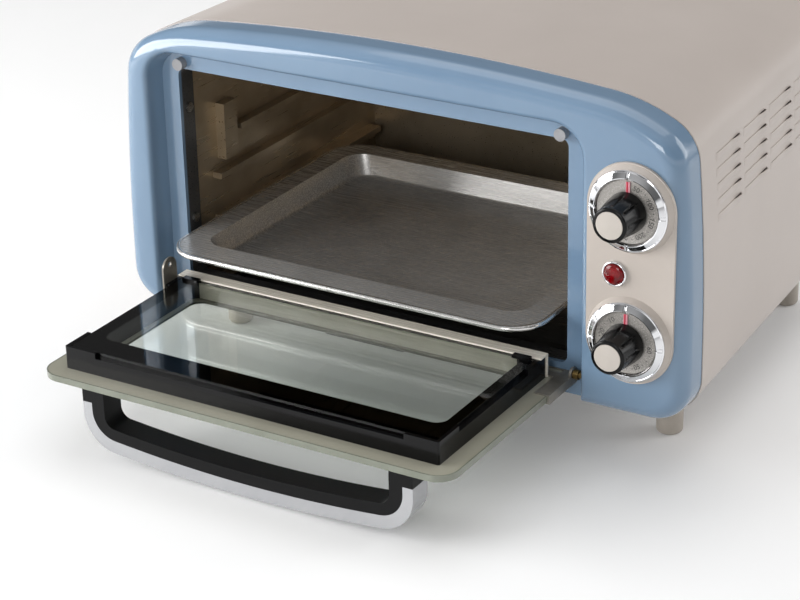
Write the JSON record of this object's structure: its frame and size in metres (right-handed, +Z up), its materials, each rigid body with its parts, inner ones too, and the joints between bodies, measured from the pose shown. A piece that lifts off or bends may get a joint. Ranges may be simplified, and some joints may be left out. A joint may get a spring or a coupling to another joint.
{
  "type": "electric countertop oven",
  "caption": "Small electric oven with a crowned steel case, moulded front, drop-down glass door with handle, baking tray, pull-out crumb tray, dials and a pilot lamp.",
  "frame": {"origin": "centre of the outer box, door open, on the surface the feet stand on", "axes": "+Z up, +X to the right seen from the front, the door opens towards -Y"},
  "size_m": [0.42, 0.4602, 0.2515],
  "materials": {
    "case_paint": "satin warm greige paint on steel sheet",
    "bezel_blue": "glossy powder-blue moulding",
    "greige_plastic": "satin greige plastic",
    "zinc_steel": "plain zinc-coated steel sheet",
    "element": "dark heating sheath",
    "ceramic": "unglazed ceramic",
    "chrome": "polished chrome",
    "black_plastic": "semi-gloss black plastic",
    "red_lens": "translucent red lens",
    "red_paint": "red paint",
    "dial_paint": "greige dial with dark figures",
    "outer_glass": "tempered glass with a printed beige border",
    "inner_glass": "clear tempered glass, slightly green",
    "brass": "plain brass",
    "tray_steel": "satin grey steel, bright at the rim",
    "rubber": "grey silicone rubber",
    "screw_steel": "plated steel screws"
  },
  "bodies": {
    "oven": {"outer_casing": "case_paint", "rear_panel": "zinc_steel", "rear_screws": "screw_steel", "base_pan": "zinc_steel", "foot_front_left": "greige_plastic", "foot_front_right": "greige_plastic", "foot_rear_left": "greige_plastic", "foot_rear_right": "greige_plastic", "foot_screws": "screw_steel", "front_bezel": "bezel_blue", "bezel_screws": "screw_steel", "front_frame": "zinc_steel", "frame_screws": "screw_steel", "cavity_left_wall": "zinc_steel", "cavity_right_wall": "zinc_steel", "cavity_top": "zinc_steel", "cavity_back": "zinc_steel", "lower_heater_front": "element", "lower_heater_rear": "element", "upper_heater_front": "element", "upper_heater_rear": "element", "heater_bushes": "ceramic", "control_plate": "greige_plastic", "upper_dial_ring": "chrome", "lower_dial_ring": "chrome", "upper_dial_face": "dial_paint", "lower_dial_face": "dial_paint", "control_bracket": "zinc_steel", "bracket_screws": "screw_steel", "thermostat_body": "black_plastic", "timer_body": "black_plastic", "lamp_ring": "chrome", "lamp_lens": "red_lens", "lamp_body": "black_plastic", "cord_gland": "black_plastic", "terminal_block": "ceramic", "hinge_pins": "brass", "door_bumpers": "rubber"},
    "door": {"outer_glass": "outer_glass", "inner_glass": "inner_glass", "door_frame": "black_plastic", "hinge_strip": "zinc_steel", "hinge_bracket_left": "zinc_steel", "hinge_bracket_right": "zinc_steel", "door_ear": "zinc_steel", "inner_glass_clips": "black_plastic", "handle_grip": "black_plastic", "handle_cover": "chrome", "handle_screws": "screw_steel"},
    "tray": {"baking_tray": "tray_steel"},
    "crumbs": {"crumb_tray": "zinc_steel"},
    "thermostat": {"upper_knob": "black_plastic", "upper_knob_cap": "greige_plastic", "upper_pointer": "red_paint", "thermostat_shaft": "zinc_steel"},
    "timer": {"lower_knob": "black_plastic", "lower_knob_cap": "greige_plastic", "lower_pointer": "red_paint", "timer_shaft": "zinc_steel"}
  },
  "joints": [
    {"name": "door_hinge", "type": "hinge", "parent": "oven", "child": "door", "pos_m": [-0.023, -0.07485, 0.058], "axis": [-1, 0, 0], "range_deg": [0, 90]},
    {"name": "tray_slide", "type": "slide", "parent": "oven", "child": "tray", "axis": [0, 1, 0], "range_m": [0, 0.0485]},
    {"name": "crumb_tray_slide", "type": "slide", "parent": "oven", "child": "crumbs", "axis": [0, -1, 0], "range_m": [0, 0.11]},
    {"name": "thermostat_turn", "type": "hinge", "parent": "oven", "child": "thermostat", "pos_m": [0.1725, -0.11615, 0.182], "axis": [0, 1, 0], "range_deg": [0, 270]},
    {"name": "timer_turn", "type": "hinge", "parent": "oven", "child": "timer", "pos_m": [0.1725, -0.11615, 0.0963], "axis": [0, 1, 0], "range_deg": [0, 300]}
  ],
  "couplings": [
    {"joint": "tray_slide", "follows": "door_hinge", "m_per_rad": 0.03055}
  ]
}
